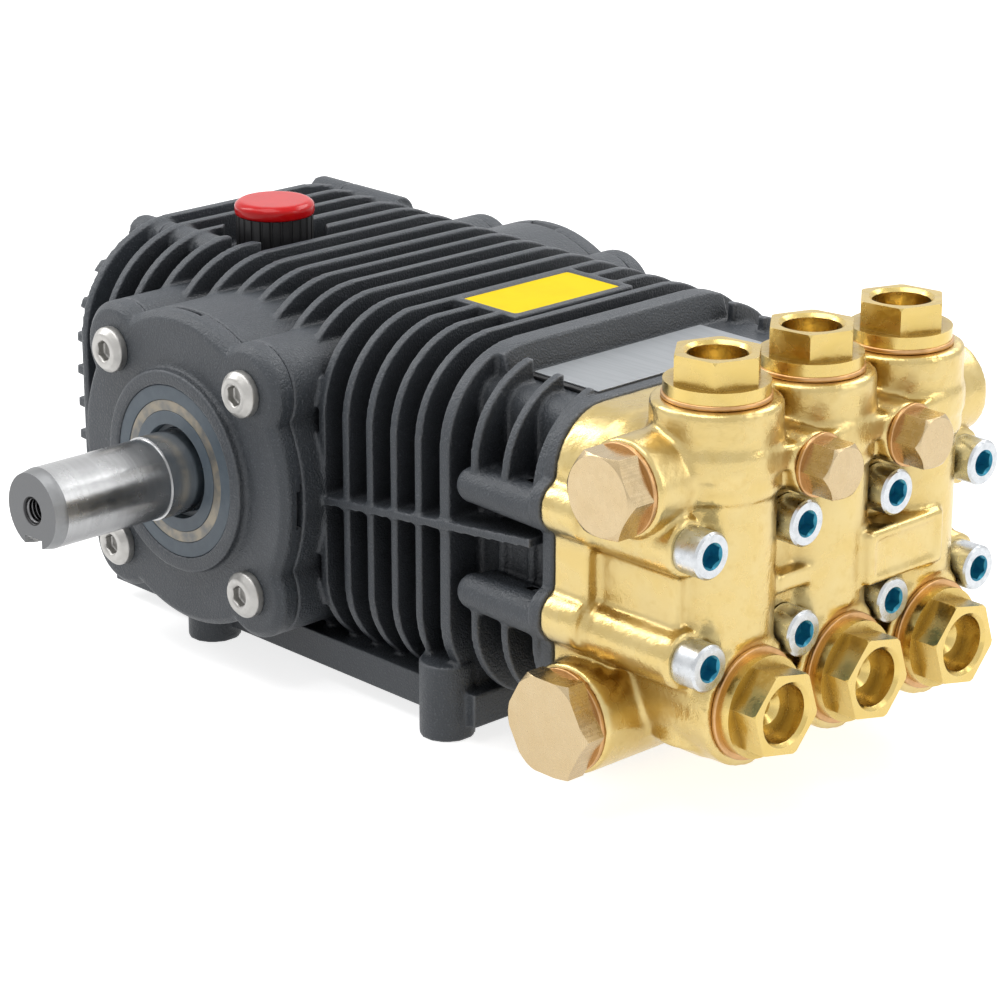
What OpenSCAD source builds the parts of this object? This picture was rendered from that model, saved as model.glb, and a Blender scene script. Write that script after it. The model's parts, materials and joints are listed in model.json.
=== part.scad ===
// Triplex plunger pump: a finned cast crankcase with a keyed drive shaft on one
// side and a forged brass manifold with six valve caps at the front.
// Millimetres. Z is up, X runs from the crankcase to the manifold, and the drive
// shaft points to -Y. The origin is the middle of the four feet, on the ground.

/* [Crankcase] */
// Height of the crankshaft axis above the ground
crank_z = 60.5; // [55:0.5:70]
// Distance from the crankshaft axis to the front feet
foot_front_x = 93; // [85:0.5:100]
// Distance between the front and rear feet
foot_gap_x = 105; // [95:0.5:115]
// Distance between the left and right feet
foot_gap_y = 113; // [100:0.5:120]
// Radius of one foot
foot_r = 8; // [6:0.5:10]
// Half width over the side fins
case_half_w = 62; // [55:0.5:68]
// Top of the frame fin above the crankshaft axis
case_top = 52.9; // [48:0.1:58]
// Rise of the fins' tops towards the rear, in degrees
top_slope = 1; // [0:0.1:2]
// Lowest point of the fins below the crankshaft axis
case_low = 50; // [45:0.5:54]
// Rounding of the frame fin at the top
shoulder_top_r = 27.5; // [20:0.5:32]
// Growth of that rounding from one fin to the next, towards the rear
shoulder_grow = 0.45; // [0:0.05:0.6]
// Rounding of the fins at the bottom
shoulder_low_r = 26; // [18:0.5:30]
// Distance from the crankshaft axis to the manifold joint
joint_x = 140; // [130:0.5:150]

/* [Fins] */
// Distance from one fin to the next
fin_pitch = 10.2; // [8:0.1:12]
// Thickness of a fin
fin_t = 2.8; // [2:0.1:4]
// Depth of the gaps between fins on the sides
fin_depth_side = 12; // [6:0.5:16]
// Depth of the gaps between fins on top
fin_depth_top = 7.5; // [4:0.5:12]
// Distance from the crankshaft axis to the frame fin behind the name plate
frame_fin_x = 97.3; // [90:0.1:105]
// Number of fins on the crankcase, the frame fin included
fin_count = 16; // [10:1:18]

/* [Bearing covers] */
// Radius of the round middle of a bearing cover
cover_disc_r = 47.5; // [40:0.5:55]
// Distance of the cover bolts from the shaft axis, each way
cover_bolt_d = 30.4; // [25:0.1:36]
// Radius of the corners round the cover bolts
cover_lobe_r = 14; // [10:0.5:18]
// Distance from the side fins to the cover joint
cover_reach = 8; // [5:0.5:12]
// Thickness of a bearing cover
cover_t = 7; // [5:0.5:12]
// Radius of the raised ring round the seal
ring_r = 30.5; // [28:0.5:34]
// Height of the raised ring
ring_h = 3; // [1:0.5:5]

/* [Drive shaft] */
// Radius of the drive shaft's free end
shaft_r = 12; // [9:0.5:15]
// Distance from the middle of the pump to the shaft's end
shaft_end_y = 130.5; // [115:0.5:145]
// Distance from the middle of the pump to the step on the shaft
shaft_step_y = 89.5; // [82:0.5:95]
// Radius of the shaft where the seal runs
journal_r = 12.5; // [10:0.5:16]
// Width of the keyway
keyway_w = 8; // [5:0.5:10]
// Depth of the keyway
keyway_depth = 4; // [2:0.5:5]
// Length of the keyway
keyway_len = 20; // [15:1:30]

/* [Manifold] */
// Distance from one plunger to the next
plunger_gap = 36.6; // [30:0.1:42]
// Distance from the crankshaft axis to the delivery valves
valve_x = 176; // [165:0.5:185]
// Radius of the towers under the delivery valve caps
tower_r = 17.8; // [15:0.1:20]
// Top of the towers above the crankshaft axis
tower_top = 54.6; // [48:0.1:60]
// Radius of the columns on the manifold's front
column_r = 16.5; // [13:0.5:18]
// Height of the suction valves below the crankshaft axis
suction_z = 27.4; // [22:0.1:32]
// Distance from the crankshaft axis to the seats of the front valve caps
suction_seat_x = 191; // [184:0.5:198]
// Height of the upper manifold screws above the crankshaft axis
screw_up_z = 18.8; // [14:0.1:24]
// Height of the lower manifold screws below the crankshaft axis
screw_low_z = 12.4; // [8:0.1:18]
// Distance from the crankshaft axis to the seats of the manifold screws
screw_seat_x = 184.7; // [178:0.1:190]

/* [Ports] */
// Reach of the port bosses beyond the side fins
port_reach = 4; // [1:0.5:8]
// Radius of the outlet boss
outlet_boss_r = 13.5; // [11:0.5:16]
// Wall radius of the outlet thread
outlet_r = 7.5; // [6:0.1:9]
// Radius of the inlet boss
inlet_boss_r = 15.5; // [13:0.5:18]
// Wall radius of the inlet thread
inlet_r = 9.3; // [8:0.1:11]

/* [Valve caps] */
// Width across the flats of a valve cap
cap_flats = 22; // [18:0.5:27]
// Radius of a valve cap's flange
cap_flange_r = 14.3; // [13:0.1:17]
// Height of a valve cap above its washer
cap_h = 11; // [8:0.5:14]
// Radius of the round hollow in a valve cap
cap_hollow_r = 8.1; // [6:0.1:10]

/* [Output] */
// The sub-part to draw

/* [Hidden] */

$fn = 64;
eps = 0.01;
crank_x = foot_gap_x / 2 - foot_front_x;
rear_joint_x = frame_fin_x - (fin_count - 0.5) * fin_pitch;
core_half_w = case_half_w - fin_depth_side;
cover_joint_y = case_half_w + cover_reach;
port_end_y = case_half_w + port_reach;
inlet_end_y = port_end_y + 1.5;
far = 300;
core_top = case_top - fin_depth_top;
core_low = case_low - 4;
core_top_r = shoulder_top_r - 6;
core_low_r = shoulder_low_r - 8;
frame_fin_t = 1.5 * fin_t;
stub_x = [109.6, 121.4, 133.2];
stub_drop = [1.2, 2.9, 4.2];
flange_half_w = case_half_w - 1.2;
flange_top = 46.5;
flange_low = 44;
flange_r = 18;
flange_t = 4.3;
plate_floor = 44.3;
recess_half_y = 40;
wall_half_y = 44;
wall_top_x = frame_fin_x + 5;
wall_foot_x = frame_fin_x + 8.2;
screw_y = 1.5 * plunger_gap;
screw_rows = [screw_up_z, -screw_low_z];
boss_r = 8.6;
lobe_r = 7.6;
lobe_out = 3.9;
lobe_up = 1.8;
side_boss_r = 5.2;
side_boss_x = 107.5;
thread_r = 4.25;
rib_x = [40.7, 133];
rib_z = [-1.6, 8.5];
rib_t = 2.6;
rib_reach = 1;
skirt_half_w = 57;
skirt_top = -46;
skirt_low = -56;
skirt_front_x = 105;
rear_core_x = rear_joint_x - 8.2;
rear_boss_x = rear_joint_x - 14.2;
rear_rib_x = rear_joint_x - 12.2;
rear_rib_z = 40.5;
rear_rib_gap = 10.5;
rear_rib_t = 3.4;
rear_rib_count = 8;
rear_round_x = rear_joint_x - 15;
rear_screw_y = [-31, 42];
rear_screw_z = case_top - 3.7;
rear_screw_low_z = -37;
rear_boss_r = 5.6;
rear_seat_x = rear_boss_x + 4;
rear_hole_r = 2.6;
sight_z = -6;
sight_r = 10;
drain_z = -36;
drain_flange_r = 10;
cap_x = -33;
cap_y = -12;
cap_pocket_r = 16;
cap_neck_r = 8;
cap_top_z = case_top + 11.2;
cap_top_t = 4.4;
cap_r = 12.3;
cap_hollow_depth = 6.5;
label_x = [58.5, 81];
label_y = [-18.5, 24];
label_rim = 2.5;
label_t = 0.6;
label_top = case_top + 2 * fin_pitch * tan(top_slope);
label_z = label_top - label_t;
name_x = [108.5, 133.5];
name_y = [-37.5, 28.5];
seal_out_r = 26;
seal_ring_out_r = 21.5;
seal_ring_in_r = 18.2;
run_gap = 0.05;
cover_face_y = cover_joint_y + cover_t;
cover_chamfer = 2.2;
ring_face_y = cover_face_y + ring_h;
seal_face_y = ring_face_y - 0.5;
seal_t = 7;
outlet_x = 171;
outlet_z = 34.5;
inlet_x = 152.5;
inlet_z = -35.2;
gauge_z = 36.2;
gauge_y = plunger_gap / 2;
gauge_seat_x = 195.6;
shelf_x = 194.4;
shelf_wrap_r = tower_r + 0.8;
shelf_top = 43;
shelf_low = 36.5;
washer_t = 1.4;
body_half_w = 51;
shoulder_x = 164;
pad_x = 194.8;
pad_y = [5.4, 36.4];
pad_z = [-5, 10.6];
pad_rim = 2.2;
front_x = 184.4;
brass = [0.86, 0.68, 0.32];
charcoal = [0.25, 0.26, 0.27];
steel = [0.74, 0.75, 0.76];
copper = [0.75, 0.45, 0.27];

// Moves a shape drawn round the crankshaft axis to its place in the part.
module at_crank() {
    translate([crank_x, 0, crank_z])
        children();
}

// Extrudes a (Y, Z) outline along X from x0 to x1.
module along_x(x0, x1) {
    translate([x0, 0, 0])
        rotate([90, 0, 90])
            linear_extrude(x1 - x0)
                children();
}

// Extrudes an (X, Z) outline along Y from y0 to y1.
module along_y(y0, y1) {
    translate([0, y1, 0])
        rotate([90, 0, 0])
            linear_extrude(y1 - y0)
                children();
}

// A round bar along X.
module bar_x(x0, x1, r) {
    translate([x0, 0, 0])
        rotate([0, 90, 0])
            cylinder(h = x1 - x0, r = r);
}

// A round bar along Y.
module bar_y(y0, y1, r) {
    translate([0, y0, 0])
        rotate([-90, 0, 0])
            cylinder(h = y1 - y0, r = r);
}

// A box given by its two opposite corners.
module span(a, b) {
    translate(a)
        cube([b[0] - a[0], b[1] - a[1], b[2] - a[2]]);
}

// An outline with one rounding at the top corners and one at the bottom.
module round_section(half_w, low, top, r_top, r_low) {
    translate([-half_w, low + r_low])
        square([2 * half_w, top - low - r_top - r_low]);
    translate([-half_w + r_top, top - r_top - eps])
        square([2 * (half_w - r_top), r_top + eps]);
    translate([-half_w + r_low, low])
        square([2 * (half_w - r_low), r_low + eps]);
    for (s = [-1, 1]) {
        translate([s * (half_w - r_top), top - r_top])
            circle(r = r_top);
        translate([s * (half_w - r_low), low + r_low])
            circle(r = r_low);
    }
}

// One long fin with its middle at x: higher and rounder towards the rear.
module fin(x) {
    back = frame_fin_x - x;
    along_x(x - fin_t / 2, x + fin_t / 2)
        round_section(case_half_w, -case_low, case_top + back * tan(top_slope),
            shoulder_top_r + back / fin_pitch * shoulder_grow, shoulder_low_r);
}

module core_section() {
    round_section(core_half_w, -core_low, core_top, core_top_r, core_low_r);
}

// The joint face that the crankcase and the manifold share.
module flange_section() {
    round_section(flange_half_w, -flange_low, flange_top, flange_r, flange_r);
    for (s = [-1, 1])
        for (z = screw_rows) {
            translate([s * screw_y, z])
                circle(r = boss_r);
            translate([s * (screw_y + lobe_out), z + lobe_up])
                circle(r = lobe_r);
        }
}

// The four-cornered outline of a bearing cover and of the boss behind it.
module cover_outline() {
    circle(r = cover_disc_r, $fn = 96);
    for (sx = [-1, 1])
        for (sz = [-1, 1])
            translate([sx * cover_bolt_d, sz * cover_bolt_d])
                circle(r = cover_lobe_r);
}

// A disc with a chamfer round its outer face, one piece of a bearing cover.
module cover_disc(r) {
    bar_y(-cover_face_y + cover_chamfer, -cover_joint_y, r);
    translate([0, -cover_face_y, 0])
        rotate([-90, 0, 0])
            cylinder(h = cover_chamfer, r1 = r - cover_chamfer, r2 = r);
}

module cover_bolt_places() {
    for (sx = [-1, 1])
        for (sz = [-1, 1])
            translate([sx * cover_bolt_d, 0, sz * cover_bolt_d])
                children();
}

module foot_places() {
    for (x = [foot_front_x - foot_gap_x, foot_front_x])
        for (s = [-1, 1])
            translate([x, s * foot_gap_y / 2, 0])
                children();
}

module rear_bolt_places() {
    for (y = rear_screw_y)
        for (z = [rear_screw_z, rear_screw_low_z])
            translate([0, y, z])
                children();
}

// The crankcase casting: a solid core, its fins, the skirt and the feet.
module crankcase() {
    color(charcoal)
    at_crank()
    difference() {
        union() {
            along_x(rear_joint_x, frame_fin_x)
                core_section();
            along_x(frame_fin_x - fin_t / 2, joint_x)
                round_section(core_half_w, -core_low + 4, plate_floor, 6, core_low_r);
            for (i = [1 : fin_count - 1])
                fin(frame_fin_x - i * fin_pitch);
            frame_fin();
            stub_fins();
            along_x(joint_x - flange_t, joint_x)
                flange_section();
            side_bosses();
            side_ribs();
            along_y(-cover_joint_y, cover_joint_y)
                cover_outline();
            rear_screw_bosses(rear_joint_x, rear_joint_x + 2.5 * fin_pitch);
            span([rear_joint_x, -skirt_half_w, skirt_low],
                [skirt_front_x, skirt_half_w, skirt_top]);
            foot_places()
                translate([0, 0, -crank_z])
                    cylinder(h = crank_z - 38, r = foot_r);
            span([label_x[0] - label_rim, label_y[0] - label_rim, core_top - 4],
                [label_x[1] + label_rim, label_y[1] + label_rim, label_top]);
        }
        case_cuts();
    }
}

// The thick fin behind the name plate, with its sloped wall.
module frame_fin() {
    along_x(frame_fin_x - fin_t / 2, frame_fin_x - fin_t / 2 + frame_fin_t)
        round_section(case_half_w, -case_low, case_top, shoulder_top_r, shoulder_low_r);
    intersection() {
        along_y(-wall_half_y, wall_half_y)
            polygon([[frame_fin_x, plate_floor - 1], [wall_foot_x, plate_floor - 1],
                [wall_foot_x, plate_floor], [wall_top_x, case_top + 1],
                [frame_fin_x, case_top + 1]]);
        along_x(frame_fin_x - fin_t / 2, wall_foot_x + 1)
            round_section(case_half_w, -case_low, case_top, shoulder_top_r, shoulder_low_r);
    }
}

// The short fins between the frame fin and the joint flange.
module stub_fins() {
    difference() {
        for (i = [0 : 2])
            along_x(stub_x[i] - fin_t / 2, stub_x[i] + fin_t / 2)
                round_section(case_half_w - 0.3 * (i + 1), -case_low + 2 + i,
                    case_top - stub_drop[i], shoulder_top_r, shoulder_low_r);
        span([frame_fin_x + fin_t / 2, -recess_half_y, plate_floor],
            [joint_x + 1, recess_half_y, case_top + 1]);
        for (s = [0, 1])
            mirror([0, s, 0])
                span([frame_fin_x, core_half_w + 1.5, -screw_low_z],
                    [joint_x + 1, case_half_w + 1, screw_up_z]);
    }
}

// Round bosses for the manifold screws, along both sides of the front.
module side_bosses() {
    for (s = [-1, 1])
        for (z = screw_rows) {
            translate([0, s * screw_y, z - 0.8])
                bar_x(side_boss_x, joint_x - 1, side_boss_r + 0.2);
            translate([side_boss_x, s * (screw_y + lobe_out), z - 0.8]) {
                sphere(r = side_boss_r);
                rotate([0, 90, 0])
                    cylinder(h = joint_x - 1 - side_boss_x, r1 = side_boss_r - 0.1,
                        r2 = side_boss_r + 0.8);
            }
        }
}

// The long ribs on both sides, rising a little towards the manifold.
module side_ribs() {
    for (s = [0, 1])
        mirror([0, s, 0])
            along_y(core_half_w - 1, case_half_w + rib_reach)
                polygon([[rib_x[0], rib_z[0] - rib_t / 2], [rib_x[1], rib_z[1] - rib_t / 2],
                    [rib_x[1], rib_z[1] + rib_t / 2], [rib_x[0], rib_z[0] + rib_t / 2]]);
}

// Round bosses for the screws that hold the rear cover.
module rear_screw_bosses(x0, x1) {
    rear_bolt_places()
        bar_x(x0, x1, rear_boss_r);
}

// All that is cut out of the crankcase.
module case_cuts() {
    span([rear_joint_x - far, -far, -far], [rear_joint_x, far, far]);
    translate([cap_x, cap_y, core_top - 2])
        cylinder(h = 20, r = cap_pocket_r);
    translate([cap_x, cap_y, core_top - 12])
        cylinder(h = 20, r = cap_neck_r + 0.3);
    span([label_x[0], label_y[0], label_z - label_t], [label_x[1], label_y[1], case_top + 1]);
    span([label_x[0] - label_rim - 1, -far, label_top], [label_x[1] + label_rim, far, far]);
    bar_y(-cover_joint_y - 1, cover_joint_y + 1, 20);
    cover_bolt_places() {
        bar_y(-cover_joint_y - 1, -cover_joint_y + 14, thread_r);
        bar_y(cover_joint_y - 14, cover_joint_y + 1, thread_r);
    }
    foot_places()
        translate([0, 0, -crank_z - 1])
            cylinder(h = 15, r = 3.4);
    rear_bolt_places()
        bar_x(rear_joint_x - 1, rear_joint_x + 14, rear_hole_r);
    for (s = [-1.5, -0.5, 0.5, 1.5])
        for (z = screw_rows)
            translate([0, s * plunger_gap, z])
                bar_x(joint_x - 16, joint_x + 1, thread_r);
}

// The rear cover, with its level ribs and the rearmost fin.
module rear_cover() {
    color(charcoal)
    at_crank()
    difference() {
        union() {
            along_x(rear_core_x, rear_joint_x)
                core_section();
            fin(rear_joint_x - fin_pitch / 2);
            rear_screw_bosses(rear_boss_x, rear_joint_x);
            rear_ribs();
            translate([0, 0, sight_z])
                bar_x(rear_round_x, rear_joint_x - 1, sight_r + 4);
            translate([0, 0, drain_z])
                bar_x(rear_round_x, rear_joint_x - 1, drain_flange_r + 1);
        }
        translate([0, 0, sight_z])
            bar_x(rear_round_x - 1, rear_core_x, sight_r + 0.3);
        translate([0, 0, drain_z])
            bar_x(rear_round_x - 1, rear_joint_x - 4, 6.9);
        rear_bolt_places() {
            bar_x(rear_boss_x - 1, rear_joint_x + 1, rear_hole_r);
            bar_x(rear_boss_x - 1, rear_seat_x, 4.5);
        }
    }
}

// Level ribs across the back of the rear cover.
module rear_ribs() {
    intersection() {
        along_x(rear_rib_x, rear_core_x + 1)
            round_section(case_half_w - 2.5, -case_low + 2, case_top + 1,
                shoulder_top_r + 7, shoulder_low_r);
        for (i = [0 : rear_rib_count - 1])
            translate([rear_rib_x, -case_half_w, rear_rib_z - i * rear_rib_gap])
                cube([rear_joint_x - rear_rib_x, 2 * case_half_w, rear_rib_t]);
    }
}

// A screw along X with a hexagon socket, its head's seat at x = 0.
module screw_x(head_r, head_h, chamfer, shank_r, shank_len, socket, socket_depth) {
    difference() {
        union() {
            bar_x(0, head_h - chamfer, head_r);
            translate([head_h - chamfer, 0, 0])
                rotate([0, 90, 0])
                    cylinder(h = chamfer, r1 = head_r, r2 = head_r - chamfer);
            bar_x(-shank_len, 1, shank_r);
        }
        translate([head_h - socket_depth, 0, 0])
            rotate([0, 90, 0])
                cylinder(h = socket_depth + 1, d = socket / cos(30), $fn = 6);
        translate([head_h - 0.7, 0, 0])
            rotate([0, 90, 0])
                cylinder(h = 0.8, r1 = socket / 2, r2 = socket / 2 + 0.9);
    }
}

module rear_cover_bolts() {
    color(steel)
    at_crank()
    rear_bolt_places()
        translate([rear_seat_x, 0, 0])
            mirror([1, 0, 0])
                screw_x(4.2, 3.6, 0.5, rear_hole_r - 0.1, 20, 4, 2.2);
}

module oil_sight_glass() {
    color([0.85, 0.8, 0.55])
    at_crank()
    translate([0, 0, sight_z])
        bar_x(rear_round_x + 0.6, rear_core_x, sight_r);
}

module oil_drain_plug() {
    color(steel)
    at_crank()
    translate([rear_round_x, 0, drain_z]) {
        translate([-6, 0, 0])
            rotate([0, 90, 0])
                cylinder(h = 5.5, d = 17 / cos(30), $fn = 6);
        bar_x(-1.2, 0, drain_flange_r);
        bar_x(-1, 9, 6.5);
    }
}

// A bearing cover drawn on the drive side, with or without the shaft opening.
module bearing_cover(open) {
    difference() {
        union() {
            cover_disc(cover_disc_r);
            cover_bolt_places()
                cover_disc(cover_lobe_r);
            bar_y(-ring_face_y, -cover_joint_y, ring_r);
        }
        if (open) {
            bar_y(-ring_face_y - 1, -seal_face_y + seal_t, seal_out_r);
            bar_y(-ring_face_y - 1, -cover_joint_y + 1, seal_out_r - 4);
        }
        cover_bolt_places()
            bar_y(-cover_face_y - 1, -cover_joint_y + 1, thread_r);
        span([-11, -cover_joint_y - 0.8, cover_disc_r - 1.5],
            [1, -cover_joint_y + 1, cover_disc_r + 1]);
        span([cover_disc_r - 1.5, -cover_joint_y - 0.8, -6],
            [cover_disc_r + 1, -cover_joint_y + 1, 6]);
    }
}

module drive_side_cover() {
    color(charcoal)
    at_crank()
        bearing_cover(true);
}

module far_side_cover() {
    color(charcoal)
    at_crank()
        mirror([0, 1, 0])
            bearing_cover(false);
}

// The low-headed bolts of one bearing cover, on the drive side.
module cover_bolts() {
    cover_bolt_places()
        translate([0, -cover_face_y, 0])
            rotate([0, 0, -90])
                screw_x(6.9, 4.2, 1.8, 4, 18, 5.5, 2.8);
}

module drive_side_cover_bolts() {
    color(steel)
    at_crank()
        cover_bolts();
}

module far_side_cover_bolts() {
    color(steel)
    at_crank()
        mirror([0, 1, 0])
            cover_bolts();
}

module shaft_seal() {
    color([0.36, 0.42, 0.46])
    at_crank()
    difference() {
        bar_y(-seal_face_y, -seal_face_y + seal_t, seal_out_r);
        bar_y(-seal_face_y - 1, -seal_face_y + seal_t + 1, journal_r + run_gap);
        bar_y(-seal_face_y - 1, -seal_face_y + 3, journal_r + 1.6);
        difference() {
            bar_y(-seal_face_y - 1, -seal_face_y + 1, seal_ring_out_r);
            bar_y(-seal_face_y - 2, -seal_face_y + 2, seal_ring_in_r);
        }
    }
}

module shaft_seal_ring() {
    color([0.55, 0.52, 0.46])
    at_crank()
    difference() {
        bar_y(-seal_face_y + 0.2, -seal_face_y + 1, seal_ring_out_r);
        bar_y(-seal_face_y - 1, -seal_face_y + 2, seal_ring_in_r);
    }
}

// The drive shaft: stepped, keyed and drilled at its free end.
module drive_shaft() {
    color(steel)
    at_crank()
    difference() {
        union() {
            bar_y(-shaft_end_y + 4, -shaft_step_y, shaft_r);
            translate([0, -shaft_end_y, 0])
                rotate([-90, 0, 0])
                    cylinder(h = 4, r1 = shaft_r - 0.8, r2 = shaft_r);
            bar_y(-shaft_step_y, -cover_joint_y, journal_r);
            bar_y(-cover_joint_y, cover_joint_y - 2, 17);
        }
        span([-keyway_w / 2, -shaft_end_y - 1, -shaft_r - 1],
            [keyway_w / 2, -shaft_end_y + keyway_len, -shaft_r + keyway_depth]);
        bar_y(-shaft_end_y - 1, -shaft_end_y + 20, 3.4);
        translate([0, -shaft_end_y - eps, 0])
            rotate([-90, 0, 0])
                cylinder(h = 1.2, r1 = 4.5, r2 = 3.4);
    }
}

module filler_cap_body() {
    color([0.06, 0.06, 0.06])
    at_crank()
    translate([cap_x, cap_y, 0]) {
        difference() {
            translate([0, 0, core_top - 2])
                cylinder(h = cap_top_z - cap_top_t - core_top + 2, r = cap_r - 0.4);
            for (a = [0 : 15 : 345])
                rotate([0, 0, a])
                    translate([cap_r - 0.4, 0, core_top - 3])
                        cylinder(h = 30, r = 0.55, $fn = 16);
        }
        translate([0, 0, core_top - 11])
            cylinder(h = 10, r = cap_neck_r);
    }
}

module filler_cap_top() {
    color([0.83, 0.08, 0.1])
    at_crank()
    translate([cap_x, cap_y, cap_top_z - cap_top_t]) {
        cylinder(h = cap_top_t - 1.2, r = cap_r);
        translate([0, 0, cap_top_t - 1.2])
            cylinder(h = 1.2, r1 = cap_r, r2 = cap_r - 1.6);
    }
}

module series_plate() {
    color([0.96, 0.83, 0.02])
    at_crank()
    span([label_x[0], label_y[0], label_z - label_t], [label_x[1], label_y[1], label_z]);
}

module name_plate_base() {
    color([0.12, 0.12, 0.13])
    at_crank()
    span([name_x[0] - 1.5, name_y[0] - 1.5, plate_floor],
        [name_x[1] + 1.5, name_y[1] + 1.5, plate_floor + 1.4]);
}

module name_plate() {
    color([0.72, 0.74, 0.76])
    at_crank()
    span([name_x[0], name_y[0], plate_floor + 1.4],
        [name_x[1], name_y[1], plate_floor + 1.9]);
}

// The forged manifold: body, towers, columns, shelf, bosses and seats.
module manifold() {
    color(brass)
    at_crank()
    difference() {
        union() {
            along_x(joint_x, joint_x + 13)
                flange_section();
            along_x(joint_x + 1, shoulder_x)
                round_section(flange_half_w - 1.2, 10, flange_top - 0.4, flange_r, 5);
            along_x(joint_x, front_x)
                round_section(body_half_w, -43, flange_top - 1, 14, 6);
            for (s = [-1, 1])
                for (z = screw_rows)
                    translate([0, s * screw_y, z])
                        bar_x(joint_x + 1, screw_seat_x, boss_r - 0.4);
            span([joint_x, -screw_y - 1.5, -screw_low_z],
                [screw_seat_x - 3, screw_y + 1.5, screw_up_z]);
            for (i = [-1 : 1])
                translate([valve_x, i * plunger_gap, 0]) {
                    translate([0, 0, 30])
                        cylinder(h = tower_top - 30, r = tower_r);
                    translate([0, 0, -40])
                        cylinder(h = 80, r = column_r);
                }
            shelf();
            for (i = [-1 : 1])
                translate([0, i * plunger_gap, -suction_z])
                    bar_x(joint_x + 20, suction_seat_x, 18);
            for (s = [-1, 1])
                translate([0, s * gauge_y, gauge_z])
                    bar_x(valve_x, gauge_seat_x, 8.8);
            translate([outlet_x, 0, outlet_z])
                bar_y(-port_end_y, port_end_y, outlet_boss_r);
            translate([inlet_x, 0, inlet_z])
                bar_y(-inlet_end_y, inlet_end_y, inlet_boss_r);
            span([valve_x, pad_y[0], pad_z[0]], [pad_x, pad_y[1], pad_z[1]]);
            span([valve_x, -23.4, -1.2], [188.6, -6, 4.4]);
        }
        manifold_cuts();
    }
}

// The level ledge in front of the towers.
module shelf() {
    translate([0, 0, shelf_low]) {
        translate([valve_x - 12, -plunger_gap, 0])
            cube([shelf_x - valve_x + 12, 2 * plunger_gap, shelf_top - shelf_low]);
        for (s = [-1, 1])
            translate([valve_x, s * plunger_gap, 0])
                cylinder(h = shelf_top - shelf_low, r = shelf_wrap_r);
    }
}

module manifold_cuts() {
    along_x(joint_x - flange_t - 1, joint_x)
        flange_section();
    span([pad_x - 0.9, pad_y[0] + pad_rim, pad_z[0] + pad_rim],
        [pad_x + 1, pad_y[1] - pad_rim, pad_z[1] - pad_rim]);
    for (i = [-1 : 1]) {
        translate([valve_x, i * plunger_gap, tower_top - 10])
            cylinder(h = 11, r = 12.3);
        translate([0, i * plunger_gap, -suction_z]) {
            bar_x(suction_seat_x - 10, suction_seat_x + 1, 12.3);
            bar_x(suction_seat_x, suction_seat_x + 6, 18.1);
        }
    }
    for (s = [-1.5, -0.5, 0.5, 1.5])
        for (z = screw_rows)
            translate([0, s * plunger_gap, z]) {
                bar_x(joint_x - 1, screw_seat_x + 1, thread_r);
                bar_x(screw_seat_x, screw_seat_x + 12, 7.2);
            }
    for (s = [-1, 1])
        translate([0, s * gauge_y, gauge_z])
            bar_x(gauge_seat_x - 9, gauge_seat_x + 1, 5.2);
    translate([outlet_x, 0, outlet_z]) {
        bar_y(-port_end_y - 1, -port_end_y + 10, outlet_r);
        bar_y(port_end_y - 16, port_end_y + 1, outlet_r);
    }
    translate([inlet_x, 0, inlet_z]) {
        bar_y(-inlet_end_y - 1, -inlet_end_y + 11, inlet_r);
        bar_y(inlet_end_y - 16, inlet_end_y + 1, inlet_r);
    }
}

// A valve cap on its washer at z = 0, with its thread below.
module valve_cap() {
    difference() {
        union() {
            cylinder(h = 3.4, r = cap_flange_r);
            intersection() {
                cylinder(h = cap_h, d = cap_flats / cos(30), $fn = 6);
                translate([0, 0, -eps])
                    cylinder(h = cap_h + 1, r1 = cap_flats / 2 + 6, r2 = cap_flats / 2 + 0.9);
            }
            translate([0, 0, -9])
                cylinder(h = 10, r = 12);
        }
        translate([0, 0, cap_h - cap_hollow_depth])
            cylinder(h = cap_hollow_depth + 1, r = cap_hollow_r);
        translate([0, 0, cap_h - 1])
            cylinder(h = 1.1, r1 = cap_hollow_r, r2 = cap_hollow_r + 1.1);
        translate([0, 0, cap_h - cap_hollow_depth - 1.6])
            cylinder(h = 2, r1 = 2.4, r2 = 5);
    }
}

module washer(r_out, r_in, t) {
    difference() {
        cylinder(h = t, r = r_out);
        translate([0, 0, -1])
            cylinder(h = t + 2, r = r_in);
    }
}

module at_delivery(i) {
    translate([valve_x, (i - 2) * plunger_gap, tower_top])
        children();
}

module at_suction(i) {
    translate([suction_seat_x, (i - 2) * plunger_gap, -suction_z])
        rotate([0, 90, 0])
            children();
}

module delivery_cap(i) {
    color(brass)
    at_crank()
        at_delivery(i)
            translate([0, 0, washer_t])
                rotate([0, 0, 10])
                    valve_cap();
}

module delivery_washer(i) {
    color(copper)
    at_crank()
        at_delivery(i)
            washer(cap_flange_r + 0.5, 12.1, washer_t);
}

module suction_cap(i) {
    color(brass)
    at_crank()
        at_suction(i)
            translate([0, 0, washer_t])
                rotate([0, 0, 18])
                    valve_cap();
}

module suction_washer(i) {
    color(copper)
    at_crank()
        at_suction(i)
            washer(cap_flange_r + 1.5, 12.1, washer_t);
}

module manifold_screws(z) {
    color(steel)
    at_crank()
    for (s = [-1.5, -0.5, 0.5, 1.5])
        translate([screw_seat_x, s * plunger_gap, z])
            screw_x(6.5, 8, 0.6, 4, 58, 6, 4);
}

// A hexagon plug along -Y with a chamfered face, its seat at y = 0.
module side_plug(flats, head_h, face_r, thread_r, thread_len) {
    rotate([90, 0, 0]) {
        intersection() {
            cylinder(h = head_h, d = flats / cos(30), $fn = 6);
            union() {
                cylinder(h = head_h - 2.5, r = flats);
                translate([0, 0, head_h - 2.5])
                    cylinder(h = 2.5, r1 = face_r + 3.2, r2 = face_r);
            }
        }
        translate([0, 0, -thread_len])
            cylinder(h = thread_len + eps, r = thread_r);
    }
}

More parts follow.
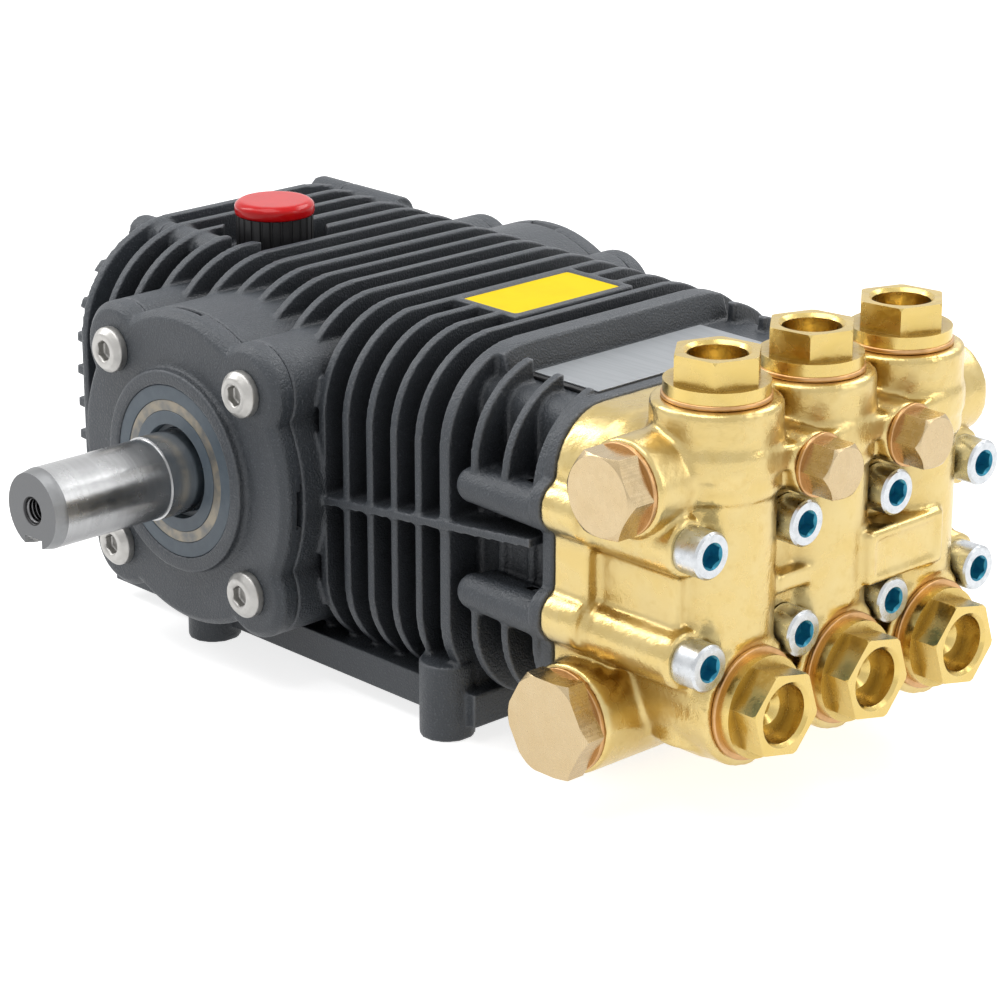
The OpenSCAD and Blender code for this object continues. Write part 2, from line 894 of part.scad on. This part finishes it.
module outlet_plug() {
    color([0.88, 0.74, 0.55])
    at_crank()
    translate([outlet_x, -port_end_y - washer_t, outlet_z])
        side_plug(22, 8, 10.8, outlet_r - 0.3, 9);
}

module outlet_plug_washer() {
    color(copper)
    at_crank()
    translate([outlet_x, -port_end_y, outlet_z])
        rotate([90, 0, 0])
            washer(outlet_boss_r - 0.9, outlet_r, washer_t);
}

module inlet_plug() {
    color([0.84, 0.68, 0.4])
    at_crank()
    translate([inlet_x, -inlet_end_y - washer_t, inlet_z])
        side_plug(27, 7, 14, inlet_r - 0.3, 10);
}

module inlet_plug_washer() {
    color(copper)
    at_crank()
    translate([inlet_x, -inlet_end_y, inlet_z])
        rotate([90, 0, 0])
            washer(inlet_boss_r - 0.9, inlet_r, washer_t);
}

module gauge_plug(i) {
    color([0.88, 0.74, 0.55])
    at_crank()
    translate([gauge_seat_x + washer_t, (2 * i - 3) * gauge_y, gauge_z])
        rotate([0, 0, 90])
            side_plug(14, 8.5, 6.8, 4.9, 8);
}

module gauge_washer(i) {
    color(copper)
    at_crank()
    translate([gauge_seat_x, (2 * i - 3) * gauge_y, gauge_z])
        rotate([0, 90, 0])
            washer(8.8, 5.1, washer_t);
}

crankcase();
rear_cover();
rear_cover_bolts();
oil_sight_glass();
oil_drain_plug();
drive_side_cover();
far_side_cover();
drive_side_cover_bolts();
far_side_cover_bolts();
shaft_seal();
shaft_seal_ring();
drive_shaft();
filler_cap_body();
filler_cap_top();
series_plate();
name_plate_base();
name_plate();
manifold();
delivery_cap(1);  // delivery_cap_1
delivery_cap(2);  // delivery_cap_2
delivery_cap(3);  // delivery_cap_3
delivery_washer(1);  // delivery_washer_1
delivery_washer(2);  // delivery_washer_2
delivery_washer(3);  // delivery_washer_3
suction_cap(1);  // suction_cap_1
suction_cap(2);  // suction_cap_2
suction_cap(3);  // suction_cap_3
suction_washer(1);  // suction_washer_1
suction_washer(2);  // suction_washer_2
suction_washer(3);  // suction_washer_3
manifold_screws(screw_up_z);  // upper_manifold_screws
manifold_screws(-screw_low_z);  // lower_manifold_screws
outlet_plug();
outlet_plug_washer();
inlet_plug();
inlet_plug_washer();
gauge_plug(1);  // gauge_plug_1
gauge_plug(2);  // gauge_plug_2
gauge_washer(1);  // gauge_washer_1
gauge_washer(2);  // gauge_washer_2
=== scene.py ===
"""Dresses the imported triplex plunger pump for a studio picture."""
import json
import math

import bpy
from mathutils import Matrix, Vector


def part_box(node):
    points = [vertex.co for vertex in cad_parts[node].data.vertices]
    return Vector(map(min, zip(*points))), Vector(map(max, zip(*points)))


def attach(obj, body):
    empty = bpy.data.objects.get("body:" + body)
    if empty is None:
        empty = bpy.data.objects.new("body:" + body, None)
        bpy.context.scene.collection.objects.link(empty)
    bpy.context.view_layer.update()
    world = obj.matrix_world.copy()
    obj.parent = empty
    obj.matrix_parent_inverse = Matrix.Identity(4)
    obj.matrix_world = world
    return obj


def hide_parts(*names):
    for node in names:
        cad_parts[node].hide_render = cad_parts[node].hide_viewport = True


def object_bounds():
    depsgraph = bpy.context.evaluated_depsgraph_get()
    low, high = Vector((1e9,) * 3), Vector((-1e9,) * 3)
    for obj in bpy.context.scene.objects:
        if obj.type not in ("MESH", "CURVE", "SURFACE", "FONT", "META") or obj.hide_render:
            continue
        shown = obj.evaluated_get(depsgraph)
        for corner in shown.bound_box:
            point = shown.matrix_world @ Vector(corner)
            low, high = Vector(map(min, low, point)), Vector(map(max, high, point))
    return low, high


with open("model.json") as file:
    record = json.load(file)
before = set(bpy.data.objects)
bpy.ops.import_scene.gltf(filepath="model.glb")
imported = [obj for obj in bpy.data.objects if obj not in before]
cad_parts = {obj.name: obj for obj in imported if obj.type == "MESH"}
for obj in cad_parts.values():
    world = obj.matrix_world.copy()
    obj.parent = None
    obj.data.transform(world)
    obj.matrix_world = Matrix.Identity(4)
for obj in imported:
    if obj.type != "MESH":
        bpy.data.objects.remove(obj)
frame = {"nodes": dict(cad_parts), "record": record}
cad_low, cad_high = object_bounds()

# Camera, fitted to the photograph: angles in degrees, distances in metres, lens in millimetres
VIEW_AZIMUTH = 46.65
VIEW_ELEVATION = 19.30
VIEW_DISTANCE = 1.026
VIEW_TARGET = Vector((0.0144, 0.0, 0.0465))
VIEW_LENS = 123.84
SENSOR_WIDTH = 36.0
NEAREST = 0.05
FARTHEST = 20

# Lamps: name, azimuth and elevation in degrees, distance and size in metres, power in watts
LAMPS = (
    ("top_light", -20, 75, 0.9, (0.7, 0.5), 3.4),
    ("back_light", 175, 46, 1.0, (0.8, 0.35), 3.4),
    ("left_light", -65, 39, 1.1, (0.3, 0.6), 3.6),
    ("right_light", 115, 28, 1.1, (0.22, 0.8), 1.3),
)

# The world's light on the pump, and the white that the camera and shiny metal see
WORLD_LIGHT = 0.36
WORLD_WHITE = 1.0

# The floor: side and distance under the pump in metres, its grey, and what lifts it to white
FLOOR_SIZE = 8
FLOOR_GAP = 0.0002
FLOOR_GREY = 0.70
FLOOR_LIFT = 0.78

# Range in which most of a noise's values lie
NOISE_RANGE = (0.3, 0.7)

# Which sockets of a Mix node hold its colours
MIX_FROM = 6
MIX_TO = 7
MIX_RESULT = 2

# Scales of the wave textures that draw turning marks on the brass plugs and the shaft's end,
# and the thread in the shaft's hole, whose turns come out about 1.25 mm apart
PLUG_RINGS = 22.0
SHAFT_RINGS = 16.0
THREAD_BANDS = 250.0

# The manifold's screws: how many in a row, and how far the blue of a socket reaches from the
# screw's axis and from its face, in metres
SCREWS_IN_ROW = 4
SOCKET_REACH = 0.0037
SOCKET_DEPTH = 0.0045

# The shaft's end: length of its taper and radius that takes in its threaded hole, in metres
TAPER_LENGTH = 0.0039
BORE_REACH = 0.0047

# Distance at which points are joined, in metres, and sharpest angle left unrounded, in degrees
WELD_REACH = 0.00001
BEVEL_ANGLE = 35

# How far each round of smoothing moves a point towards its neighbours' middle
SMOOTHING = 0.5

# Nodes with rounded edges: width in metres and number of steps
EDGES = {
    "rear_cover_bolts": (0.0003, 2),
    "oil_sight_glass": (0.0006, 3),
    "oil_drain_plug": (0.0005, 2),
    "shaft_seal": (0.0003, 2),
    "shaft_seal_ring": (0.0002, 2),
    "drive_shaft": (0.0003, 2),
    "filler_cap_body": (0.0002, 1),
    "name_plate_base": (0.0005, 2),
    "name_plate": (0.0001, 1),
    "upper_manifold_screws": (0.0004, 2),
    "lower_manifold_screws": (0.0004, 2),
    "outlet_plug": (0.0005, 3),
    "outlet_plug_washer": (0.0003, 2),
    "inlet_plug": (0.0006, 3),
    "inlet_plug_washer": (0.0003, 2),
}
for i in (1, 2, 3):
    for side in ("delivery", "suction"):
        EDGES[f"{side}_cap_{i}"] = (0.0007, 3)
        EDGES[f"{side}_washer_{i}"] = (0.0004, 2)
for i in (1, 2):
    EDGES[f"gauge_plug_{i}"] = (0.0004, 2)
    EDGES[f"gauge_washer_{i}"] = (0.0003, 2)

# Copies of the castings and of what is domed: node, new name, voxel size in metres, rounds of
# smoothing, most triangles
CASTINGS = (
    ("crankcase", "crankcase_casting", 0.0006, 4, 190000),
    ("rear_cover", "rear_casting", 0.0007, 4, 110000),
    ("manifold", "manifold_forging", 0.0008, 12, 190000),
    ("drive_side_cover", "drive_side_casting", 0.0006, 7, 90000),
    ("far_side_cover", "far_side_casting", 0.0006, 7, 90000),
    ("drive_side_cover_bolts", "drive_side_heads", 0.00025, 10, 30000),
    ("far_side_cover_bolts", "far_side_heads", 0.00025, 10, 30000),
    ("filler_cap_top", "filler_cap_dome", 0.0004, 16, 20000),
)

# Slots in the back edges of the side covers, where a lever goes in: centre and size in metres
LEVER_SLOTS = {
    node: (
        ((-0.0410, y, 0.1070), (0.0125, 0.0034, 0.0070)),
        ((0.0045, y, 0.0585), (0.0070, 0.0034, 0.0115)),
    )
    for node, y in (("drive_side_cover", -0.0707), ("far_side_cover", 0.0707))
}


def towards_pump(name, data, azimuth, elevation, distance):
    """Adds a camera or lamp at these angles, in degrees, that looks at the view's target."""
    a, e = math.radians(azimuth), math.radians(elevation)
    back = Vector((math.sin(a) * math.cos(e), -math.cos(a) * math.cos(e), math.sin(e)))
    place = VIEW_TARGET + back * distance
    obj = bpy.data.objects.new(name, data)
    obj.location = place
    obj.rotation_euler = (VIEW_TARGET - place).to_track_quat("-Z", "Y").to_euler()
    bpy.context.scene.collection.objects.link(obj)
    return obj


def make_camera():
    data = bpy.data.cameras.new("camera")
    data.lens = VIEW_LENS
    data.sensor_width = SENSOR_WIDTH
    data.clip_start = NEAREST
    data.clip_end = FARTHEST
    camera = towards_pump("camera", data, VIEW_AZIMUTH, VIEW_ELEVATION, VIEW_DISTANCE)
    bpy.context.scene.camera = camera


def make_lamp(name, azimuth, elevation, distance, size, power):
    data = bpy.data.lights.new(name, "AREA")
    data.shape = "RECTANGLE"
    data.size, data.size_y = size
    data.energy = power
    towards_pump(name, data, azimuth, elevation, distance)


def node_maker(tree):
    """A short way to add nodes: add("Type", attribute=value, Input_Name=value), and link(a, b)."""

    def add(kind, **settings):
        node = tree.nodes.new("ShaderNode" + kind)
        for key, value in settings.items():
            if hasattr(node, key):
                setattr(node, key, value)
            else:
                node.inputs[key.replace("_", " ")].default_value = value
        return node

    return add, tree.links.new


def camera_ray_factor(add, link):
    """1 for rays from the camera and for those that metal and glass send on."""
    path = add("LightPath")
    first = add("Math", operation="MAXIMUM")
    link(path.outputs["Is Camera Ray"], first.inputs[0])
    link(path.outputs["Is Glossy Ray"], first.inputs[1])
    both = add("Math", operation="MAXIMUM")
    link(first.outputs[0], both.inputs[0])
    link(path.outputs["Is Transmission Ray"], both.inputs[1])
    return both.outputs[0]


def make_world():
    """A white world that lights the pump softly and is full white where it is seen."""
    world = bpy.data.worlds.new("studio")
    bpy.context.scene.world = world
    world.use_nodes = True
    tree = world.node_tree
    tree.nodes.clear()
    add, link = node_maker(tree)
    soft = add("Background", Color=(1, 1, 1, 1), Strength=WORLD_LIGHT)
    white = add("Background", Color=(1, 1, 1, 1), Strength=WORLD_WHITE)
    mix = add("MixShader")
    link(camera_ray_factor(add, link), mix.inputs[0])
    link(soft.outputs[0], mix.inputs[1])
    link(white.outputs[0], mix.inputs[2])
    link(mix.outputs[0], add("OutputWorld").inputs[0])


def make_floor():
    """A pale floor that goes white in the picture and keeps the pump's shadow."""
    place = (0, 0, cad_low.z - FLOOR_GAP)
    bpy.ops.mesh.primitive_plane_add(size=FLOOR_SIZE, location=place)
    floor = bpy.context.object
    floor.name = "floor"
    mat = bpy.data.materials.new("floor")
    mat.use_nodes = True
    tree = mat.node_tree
    tree.nodes.clear()
    add, link = node_maker(tree)
    matt = add("BsdfDiffuse", Color=(FLOOR_GREY, FLOOR_GREY, FLOOR_GREY, 1))
    lift = add("Emission", Color=(1, 1, 1, 1))
    strength = add("Math", operation="MULTIPLY")
    strength.inputs[1].default_value = FLOOR_LIFT
    link(camera_ray_factor(add, link), strength.inputs[0])
    link(strength.outputs[0], lift.inputs["Strength"])
    both = add("AddShader")
    link(matt.outputs[0], both.inputs[0])
    link(lift.outputs[0], both.inputs[1])
    link(both.outputs[0], add("OutputMaterial").inputs[0])
    floor.data.materials.append(mat)


class Finish:
    """One procedural material: a principled shader, and helpers that add detail to it."""

    def __init__(self, name, base, metallic, roughness):
        self.mat = bpy.data.materials.new(name)
        self.mat.use_nodes = True
        self.add, self.link = node_maker(self.mat.node_tree)
        self.bsdf = self.mat.node_tree.nodes["Principled BSDF"]
        self.bsdf.inputs["Base Color"].default_value = (*base, 1)
        self.bsdf.inputs["Metallic"].default_value = metallic
        self.bsdf.inputs["Roughness"].default_value = roughness
        self.place = self.add("TexCoord").outputs["Object"]
        self.base = base
        self.colour = None
        self.normal = None

    def noise(self, size, detail=3.0, stretch=(1, 1, 1)):
        """Noise whose grains are about size metres wide."""
        mapping = self.add("Mapping", Scale=tuple(s / size for s in stretch))
        self.link(self.place, mapping.inputs["Vector"])
        tex = self.add("TexNoise", Scale=1.0, Detail=detail)
        self.link(mapping.outputs[0], tex.inputs["Vector"])
        return tex.outputs["Fac"]

    def rings(self, axis, count):
        """Turning marks round an axis through the middle of the piece."""
        middle = self.add("VectorMath", operation="SUBTRACT")
        self.link(self.add("TexCoord").outputs["Generated"], middle.inputs[0])
        middle.inputs[1].default_value = (0.5, 0.5, 0.5)
        wave = self.add("TexWave", wave_type="RINGS", rings_direction=axis, Scale=count,
            Distortion=0.6, Detail=2.0)
        self.link(middle.outputs[0], wave.inputs["Vector"])
        return wave.outputs["Fac"]

    def ramp(self, value, low, high, start=0.0, end=1.0):
        """Spreads a value's range from low to high over start to end."""
        node = self.add("MapRange")
        self.link(value, node.inputs["Value"])
        node.inputs["From Min"].default_value = low
        node.inputs["From Max"].default_value = high
        node.inputs["To Min"].default_value = start
        node.inputs["To Max"].default_value = end
        return node.outputs["Result"]

    def corner_shade(self, distance, deep=0.25, clear=0.85):
        """Mask for painted shade: 1 in deep corners, 0 in the open."""
        node = self.add("AmbientOcclusion", samples=1, only_local=True, Distance=distance)
        return self.ramp(node.outputs["AO"], deep, clear, 1.0, 0.0)

    def ridge_highlight(self, low, high):
        """Mask for painted highlights: 0 on flats and hollows, 1 on the ridges of a finely divided
        mesh.
        """
        return self.ramp(self.add("NewGeometry").outputs["Pointiness"], low, high)

    def facing(self, way, low, high):
        """1 where the surface looks along the unit vector, 0 elsewhere."""
        dot = self.add("VectorMath", operation="DOT_PRODUCT")
        self.link(self.add("TexCoord").outputs["Normal"], dot.inputs[0])
        dot.inputs[1].default_value = way
        return self.ramp(dot.outputs["Value"], low, high)

    def tint(self, factor, colour):
        """Mixes a colour over what the base colour is so far, by the factor."""
        mix = self.add("Mix", data_type="RGBA")
        self.link(factor, mix.inputs["Factor"])
        if self.colour is None:
            mix.inputs[MIX_FROM].default_value = (*self.base, 1)
        else:
            self.link(self.colour, mix.inputs[MIX_FROM])
        mix.inputs[MIX_TO].default_value = (*colour, 1)
        self.colour = mix.outputs[MIX_RESULT]
        self.link(self.colour, self.bsdf.inputs["Base Color"])

    def patches(self, value, low, high, amount, colour):
        """Mixes a colour in where the value goes from low to high, up to the amount."""
        self.tint(self.ramp(value, low, high, 0.0, amount), colour)

    def rough(self, noise, smooth, dull):
        """Lets the roughness go with a noise, from smooth to dull."""
        self.link(self.ramp(noise, *NOISE_RANGE, smooth, dull), self.bsdf.inputs["Roughness"])

    def bump(self, height, depth, strength):
        """Adds relief of about depth metres."""
        node = self.add("Bump", Strength=strength, Distance=depth)
        self.link(height, node.inputs["Height"])
        if self.normal is not None:
            self.link(self.normal, node.inputs["Normal"])
        self.normal = node.outputs[0]
        self.link(self.normal, self.bsdf.inputs["Normal"])

    def specular(self, level):
        self.bsdf.inputs["Specular IOR Level"].default_value = level


def cast_charcoal():
    """Painted cast metal with a sandy grain, with painted shade between the fins and painted
    highlights on their tips.
    """
    f = Finish("cast_charcoal", (0.050, 0.058, 0.068), metallic=0.0, roughness=0.45)
    grain = f.noise(0.0006, detail=2.0)
    f.patches(f.noise(0.012), 0.35, 0.7, 0.5, (0.066, 0.075, 0.087))
    # Light specks of the grain: partly the coat's own grain, partly painted glints.
    f.patches(grain, 0.58, 0.70, 0.6, (0.15, 0.16, 0.18))
    # Painted shade between the fins and in other deep corners.
    f.tint(f.corner_shade(0.014, 0.35, 0.95), (0.007, 0.008, 0.010))
    # Painted highlight on the fins' tips and other ridges.
    f.tint(f.ridge_highlight(0.52, 0.60), (0.22, 0.23, 0.25))
    f.rough(grain, 0.34, 0.56)
    f.bump(grain, 0.00030, strength=1.0)
    f.bump(f.noise(0.005), 0.0004, strength=0.35)
    return f.mat


def forged_brass():
    """The manifold: tumbled brass, clouded, with painted shade in its corners and painted
    highlights on its ridges.
    """
    f = Finish("forged_brass", (0.62, 0.47, 0.19), metallic=1.0, roughness=0.3)
    grain = f.noise(0.0005, detail=2.0)
    cloud = f.noise(0.009, detail=4.0)
    f.patches(cloud, 0.35, 0.7, 0.5, (0.71, 0.59, 0.31))
    f.patches(f.noise(0.003), 0.55, 0.8, 0.35, (0.50, 0.34, 0.10))
    # Painted highlight on the ridges.
    f.tint(f.ridge_highlight(0.56, 0.70), (0.88, 0.77, 0.50))
    # Painted shade in the corners.
    f.tint(f.corner_shade(0.014), (0.30, 0.17, 0.03))
    f.rough(cloud, 0.20, 0.36)
    f.bump(grain, 0.00008, strength=0.5)
    f.bump(f.noise(0.0028), 0.00035, strength=0.5)
    return f.mat


def cap_brass():
    """The valve caps: yellower brass, with painted shade in their hollows."""
    f = Finish("cap_brass", (0.65, 0.48, 0.16), metallic=1.0, roughness=0.26)
    cloud = f.noise(0.006, detail=4.0)
    f.patches(cloud, 0.35, 0.7, 0.45, (0.73, 0.57, 0.24))
    # Painted shade in the hollows.
    f.tint(f.corner_shade(0.006), (0.22, 0.13, 0.03))
    f.rough(cloud, 0.18, 0.34)
    f.bump(f.noise(0.0009), 0.00008, strength=0.4)
    f.bump(f.noise(0.006, detail=2.0), 0.0006, strength=0.4)
    return f.mat


def turned_brass(name, axis):
    """Machined brass with turning marks round the plug's axis, and painted shade in its corners.
    """
    f = Finish(name, (0.56, 0.43, 0.25), metallic=1.0, roughness=0.27)
    marks = f.rings(axis, PLUG_RINGS)
    f.patches(f.noise(0.006, detail=4.0), 0.35, 0.7, 0.4, (0.62, 0.50, 0.32))
    f.patches(marks, 0.3, 0.8, 0.22, (0.40, 0.29, 0.15))
    # Painted shade in the corners.
    f.tint(f.corner_shade(0.005), (0.24, 0.15, 0.06))
    f.bump(marks, 0.00003, strength=0.3)
    f.rough(f.noise(0.002), 0.2, 0.34)
    return f.mat


def machined_brass():
    """The plugs on the shaft's side."""
    return turned_brass("machined_brass", "Y")


def gauge_brass():
    """The plugs in front."""
    return turned_brass("gauge_brass", "X")


def copper():
    f = Finish("copper", (0.60, 0.36, 0.17), metallic=1.0, roughness=0.34)
    f.patches(f.noise(0.003), 0.4, 0.7, 0.6, (0.46, 0.26, 0.11))
    f.bump(f.noise(0.0006), 0.00008, strength=0.4)
    return f.mat


def zinc_steel():
    f = Finish("zinc_steel", (0.60, 0.62, 0.64), metallic=1.0, roughness=0.3)
    f.patches(f.noise(0.002), 0.45, 0.7, 0.5, (0.42, 0.44, 0.46))
    # Painted shade in the corners.
    f.tint(f.corner_shade(0.004), (0.12, 0.125, 0.13))
    f.bump(f.noise(0.0006), 0.00006, strength=0.4)
    f.rough(f.noise(0.0015), 0.22, 0.4)
    return f.mat


def cover_zinc():
    """The cover screws: zinc that is duller and warmer than the manifold screws'."""
    f = Finish("cover_zinc", (0.50, 0.49, 0.47), metallic=0.9, roughness=0.42)
    f.patches(f.noise(0.002), 0.4, 0.7, 0.5, (0.40, 0.39, 0.37))
    # Painted shade in the corners.
    f.tint(f.corner_shade(0.003), (0.22, 0.22, 0.215))
    f.bump(f.noise(0.0008), 0.00008, strength=0.5)
    f.rough(f.noise(0.0015), 0.34, 0.5)
    return f.mat


def blue_socket():
    """The blue in the sockets of the manifold screws."""
    f = Finish("blue_socket", (0.02, 0.26, 0.42), metallic=0.35, roughness=0.25)
    f.patches(f.noise(0.002), 0.4, 0.7, 0.6, (0.04, 0.42, 0.52))
    f.bump(f.noise(0.0008), 0.0001, strength=0.4)
    return f.mat


def ground_steel():
    """The shaft: fine marks round it, and painted shade underneath."""
    round_the_shaft = (0.01, 1, 0.01)
    f = Finish("ground_steel", (0.54, 0.545, 0.55), metallic=1.0, roughness=0.26)
    f.patches(f.noise(0.0008, 3.0, round_the_shaft), 0.4, 0.65, 0.35, (0.42, 0.42, 0.425))
    # Painted shade on the underside.
    f.tint(f.facing((0.0, 0.0, -1.0), 0.1, 0.9), (0.20, 0.20, 0.205))
    f.bump(f.noise(0.0003, 2.0, round_the_shaft), 0.00002, strength=0.4)
    f.rough(f.noise(0.006), 0.20, 0.30)
    return f.mat


def turned_steel():
    """The shaft's end face and taper, left from the lathe, and darker than the shaft as painted
    shade, most of all on the end face.
    """
    # Darker base than the shaft's steel: painted shade.
    f = Finish("turned_steel", (0.27, 0.275, 0.28), metallic=1.0, roughness=0.42)
    f.patches(f.noise(0.003), 0.4, 0.7, 0.5, (0.21, 0.215, 0.22))
    # Painted shade on the end face.
    f.tint(f.facing((0.0, -1.0, 0.0), 0.8, 0.9), (0.15, 0.153, 0.157))
    f.bump(f.rings("Y", SHAFT_RINGS), 0.00004, strength=0.4)
    return f.mat


def thread_steel():
    """The threaded hole in the shaft's end, dark as painted shade in the hole, with darker bands
    as painted shade in the thread's grooves.
    """
    # Dark base: painted shade in the hole.
    f = Finish("thread_steel", (0.20, 0.20, 0.205), metallic=1.0, roughness=0.36)
    wave = f.add("TexWave", wave_type="BANDS", bands_direction="Y", Scale=THREAD_BANDS)
    f.link(f.place, wave.inputs["Vector"])
    # Darker bands: painted shade in the thread's grooves.
    f.patches(wave.outputs["Fac"], 0.2, 0.8, 1.0, (0.05, 0.05, 0.052))
    f.bump(wave.outputs["Fac"], 0.0004, strength=0.8)
    return f.mat


def seal_rubber():
    f = Finish("seal_rubber", (0.070, 0.098, 0.125), metallic=0.0, roughness=0.40)
    f.patches(f.noise(0.004), 0.4, 0.7, 0.6, (0.10, 0.13, 0.157))
    # Painted shade in the corners.
    f.tint(f.corner_shade(0.003), (0.006, 0.007, 0.008))
    f.bump(f.noise(0.0008), 0.00006, strength=0.4)
    return f.mat


def seal_ring():
    f = Finish("seal_ring", (0.27, 0.24, 0.19), metallic=0.8, roughness=0.4)
    f.patches(f.noise(0.004, detail=4.0), 0.4, 0.65, 0.8, (0.12, 0.13, 0.14))
    f.bump(f.noise(0.0006), 0.00006, strength=0.4)
    return f.mat


def black_plastic():
    f = Finish("black_plastic", (0.008, 0.008, 0.009), metallic=0.0, roughness=0.42)
    f.patches(f.noise(0.004), 0.45, 0.7, 0.6, (0.016, 0.016, 0.018))
    f.bump(f.noise(0.0007), 0.00008, strength=0.4)
    return f.mat


def red_plastic():
    f = Finish("red_plastic", (0.66, 0.002, 0.004), metallic=0.0, roughness=0.18)
    f.patches(f.noise(0.006), 0.4, 0.7, 0.5, (0.54, 0.002, 0.004))
    f.bump(f.noise(0.004, detail=2.0), 0.0001, strength=0.3)
    f.specular(0.28)
    return f.mat


def yellow_film():
    f = Finish("yellow_film", (0.92, 0.66, 0.0), metallic=0.0, roughness=0.5)
    f.patches(f.noise(0.010), 0.4, 0.7, 0.5, (0.85, 0.58, 0.002))
    f.bump(f.noise(0.002), 0.00003, strength=0.3)
    f.specular(0.1)
    return f.mat


def silver_film():
    """The bare name plate, brushed along its short side."""
    brushed = (0.05, 1, 1)
    f = Finish("silver_film", (0.40, 0.42, 0.44), metallic=0.5, roughness=0.42)
    f.patches(f.noise(0.0008, 3.0, brushed), 0.4, 0.65, 0.5, (0.31, 0.33, 0.35))
    f.bump(f.noise(0.0004, 2.0, brushed), 0.00002, strength=0.3)
    return f.mat


def oil_window():
    """The sight glass with oil behind it."""
    f = Finish("oil_window", (0.55, 0.36, 0.07), metallic=0.0, roughness=0.12)
    f.patches(f.noise(0.005), 0.4, 0.7, 0.6, (0.40, 0.24, 0.04))
    f.bump(f.noise(0.003), 0.00005, strength=0.3)
    f.bsdf.inputs["Coat Weight"].default_value = 1.0
    return f.mat


# The record's material slots, each made by the function of its name
FINISHES = (cast_charcoal, forged_brass, machined_brass, copper, zinc_steel, ground_steel,
    seal_rubber, seal_ring, black_plastic, red_plastic, yellow_film, silver_film, oil_window)


def dress():
    """Gives every CAD node the finish of its slot, or one made for it, and returns the slots."""
    made = {maker.__name__: maker() for maker in FINISHES}
    caps, gauges, cover_bolts = cap_brass(), gauge_brass(), cover_zinc()
    slots = {s["node"]: s["material_slot"] for s in frame["record"]["subparts"]}
    for node, slot in slots.items():
        finish = made[slot]
        if node.startswith(("delivery_cap", "suction_cap")):
            finish = caps
        if node.startswith("gauge_plug"):
            finish = gauges
        if node.endswith("cover_bolts"):
            finish = cover_bolts
        mesh = frame["nodes"][node].data
        mesh.materials.clear()
        mesh.materials.append(finish)
        for p in mesh.polygons:
            p.material_index = 0
    return slots


def paint(node, finish, chosen):
    """Gives another finish to the faces of a node whose centre is chosen."""
    mesh = frame["nodes"][node].data
    mesh.materials.append(finish)
    for p in mesh.polygons:
        if chosen(p.center):
            p.material_index = len(mesh.materials) - 1


def paint_sockets(node, finish):
    """Paints the sockets in a row of screws: the faces near each screw's own axis."""
    low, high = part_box(node)
    head = high.z - low.z
    pitch = (high.y - low.y - head) / (SCREWS_IN_ROW - 1)

    def in_socket(centre):
        across = min(abs(centre.y - low.y - head / 2 - i * pitch) for i in range(SCREWS_IN_ROW))
        near = math.hypot(across, centre.z - (low.z + high.z) / 2) < SOCKET_REACH
        return near and centre.x > high.x - SOCKET_DEPTH

    paint(node, finish, in_socket)


def paint_shaft():
    """A dull turned end with a threaded hole in it."""
    low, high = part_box("drive_shaft")
    middle = (low + high) / 2

    def on_end(centre):
        return centre.y < low.y + TAPER_LENGTH

    def in_hole(centre):
        off_axis = math.hypot(centre.x - middle.x, centre.z - middle.z)
        return off_axis < BORE_REACH and centre.y < 0

    paint("drive_shaft", turned_steel(), on_end)
    paint("drive_shaft", thread_steel(), in_hole)


def weld(obj):
    """Joins the points that the CAD's faces share."""
    obj.modifiers.new("weld", "WELD").merge_threshold = WELD_REACH


def shade_smooth(obj):
    for p in obj.data.polygons:
        p.use_smooth = True


def bevelled(node, width, segments):
    """Rounds a node's edges with modifiers, so that its mesh stays as the CAD made it."""
    obj = frame["nodes"][node]
    weld(obj)
    bevel = obj.modifiers.new("bevel", "BEVEL")
    bevel.width = width
    bevel.segments = segments
    bevel.limit_method = "ANGLE"
    bevel.angle_limit = math.radians(BEVEL_ANGLE)
    shade_smooth(obj)
    obj.modifiers.new("normals", "WEIGHTED_NORMAL").keep_sharp = False


def baked(obj):
    """Applies an object's modifiers."""
    graph = bpy.context.evaluated_depsgraph_get()
    mesh = bpy.data.meshes.new_from_object(obj.evaluated_get(graph))
    obj.modifiers.clear()
    obj.data = mesh


def cut_box(obj, centre, size):
    """Cuts a box, given in metres, out of a piece."""
    bpy.ops.mesh.primitive_cube_add(size=1, location=centre, scale=size)
    tool = bpy.context.object
    cut = obj.modifiers.new("cut", "BOOLEAN")
    cut.operation = "DIFFERENCE"
    cut.object = tool
    baked(obj)
    bpy.data.objects.remove(tool)


def cast_copy(slots, node, name, voxel, rounds, most):
    """A soft-edged copy of a cast node: remeshed, smoothed, and thinned to at most so many
    triangles."""
    source = frame["nodes"][node]
    obj = bpy.data.objects.new(name, source.data.copy())
    bpy.context.scene.collection.objects.link(obj)
    weld(obj)
    remesh = obj.modifiers.new("remesh", "REMESH")
    remesh.mode = "VOXEL"
    remesh.voxel_size = voxel
    remesh.use_smooth_shade = True
    smooth = obj.modifiers.new("smooth", "SMOOTH")
    smooth.factor = SMOOTHING
    smooth.iterations = rounds
    baked(obj)
    triangles = 2 * len(obj.data.polygons)
    if triangles > most:
        obj.modifiers.new("thin", "DECIMATE").ratio = most / triangles
        baked(obj)
    for centre, size in LEVER_SLOTS.get(node, ()):
        cut_box(obj, centre, size)
    obj.data.materials.clear()
    obj.data.materials.append(source.data.materials[0])
    shade_smooth(obj)
    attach(obj, "pump")
    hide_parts(node)


def dress_pump():
    """Finishes, painted sockets and shaft end, rounded edges and soft castings."""
    slots = dress()
    socket_blue = blue_socket()
    paint_sockets("upper_manifold_screws", socket_blue)
    paint_sockets("lower_manifold_screws", socket_blue)
    paint_shaft()
    for node, (width, segments) in EDGES.items():
        bevelled(node, width, segments)
    for casting in CASTINGS:
        cast_copy(slots, *casting)


make_camera()
make_world()
for lamp in LAMPS:
    make_lamp(*lamp)
make_floor()
dress_pump()

bpy.context.scene.view_settings.view_transform = "Standard"
